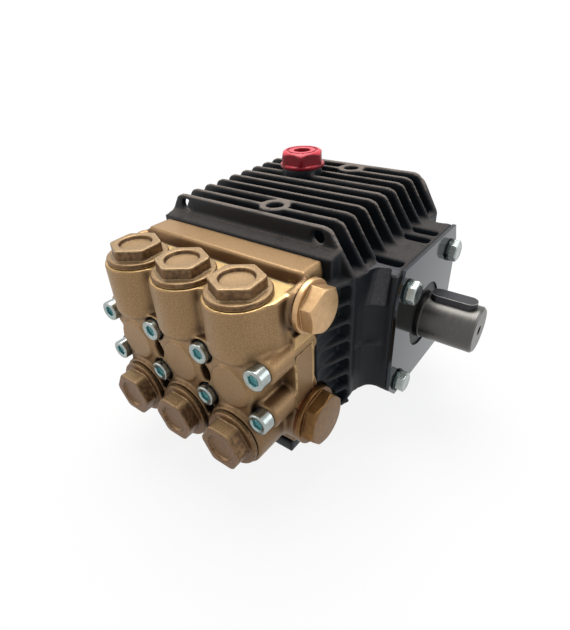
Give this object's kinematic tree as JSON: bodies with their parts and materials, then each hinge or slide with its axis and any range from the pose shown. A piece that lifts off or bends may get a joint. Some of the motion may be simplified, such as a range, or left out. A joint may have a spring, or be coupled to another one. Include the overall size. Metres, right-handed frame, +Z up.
{
  "type": "triplex high-pressure plunger pump",
  "caption": "High-pressure plunger pump with a finned black crankcase, a keyed drive shaft and a brass valve manifold with hexagon valve caps.",
  "frame": {"origin": "on the base plane, at the centre of the four base holes, under the middle of the crankshaft axis", "axes": "+X along the crankshaft towards the drive end, +Y away from the manifold, +Z up"},
  "size_m": [0.1828, 0.1687, 0.1309],
  "materials": {
    "case_black": "black painted casting, satin, rough on the as-cast tops",
    "cover_plate": "smooth black plate, glossy",
    "gasket": "matt sealing sheet",
    "rubber": "matt",
    "shaft_steel": "ground steel",
    "key_steel": "dark drawn key steel",
    "brass_cast": "blasted brass forging with a fine grain",
    "brass_cap": "blasted brass with bright machined edges",
    "brass_plug": "turned and milled brass",
    "copper": "annealed sealing washer",
    "screw_zinc": "zinc plated steel",
    "red_plastic": "moulded red plastic, glossy",
    "sight_glass": "clear amber plastic"
  },
  "bodies": {
    "pump_body": {"crankcase": "case_black", "rear_cover": "case_black", "rear_cover_screws": "screw_zinc", "bearing_cover_right": "cover_plate", "bearing_cover_left": "cover_plate", "gasket_right": "gasket", "gasket_left": "gasket", "oil_seal": "rubber", "manifold": "brass_cast", "discharge_cap_1": "brass_cap", "discharge_cap_2": "brass_cap", "discharge_cap_3": "brass_cap", "suction_cap_1": "brass_cap", "suction_cap_2": "brass_cap", "suction_cap_3": "brass_cap", "manifold_screw_1": "screw_zinc", "manifold_screw_2": "screw_zinc", "manifold_screw_3": "screw_zinc", "manifold_screw_4": "screw_zinc", "manifold_screw_5": "screw_zinc", "manifold_screw_6": "screw_zinc", "manifold_screw_7": "screw_zinc", "manifold_screw_8": "screw_zinc", "cover_screw_right_1": "screw_zinc", "cover_screw_right_2": "screw_zinc", "cover_screw_right_3": "screw_zinc", "cover_screw_right_4": "screw_zinc", "cover_screw_left_1": "screw_zinc", "cover_screw_left_2": "screw_zinc", "cover_screw_left_3": "screw_zinc", "cover_screw_left_4": "screw_zinc", "discharge_plug": "brass_plug", "discharge_washer": "copper", "suction_plug": "brass_plug", "suction_washer": "copper", "oil_filler_cap": "red_plastic", "oil_level_glass": "sight_glass", "oil_drain_plug": "screw_zinc"},
    "crankshaft": {"crankshaft": "shaft_steel", "shaft_key": "key_steel"}
  },
  "joints": [
    {"name": "crank_turn", "type": "hinge", "parent": "pump_body", "child": "crankshaft", "pos_m": [0, 0, 0.0592], "axis": [1, 0, 0], "continuous": true}
  ]
}
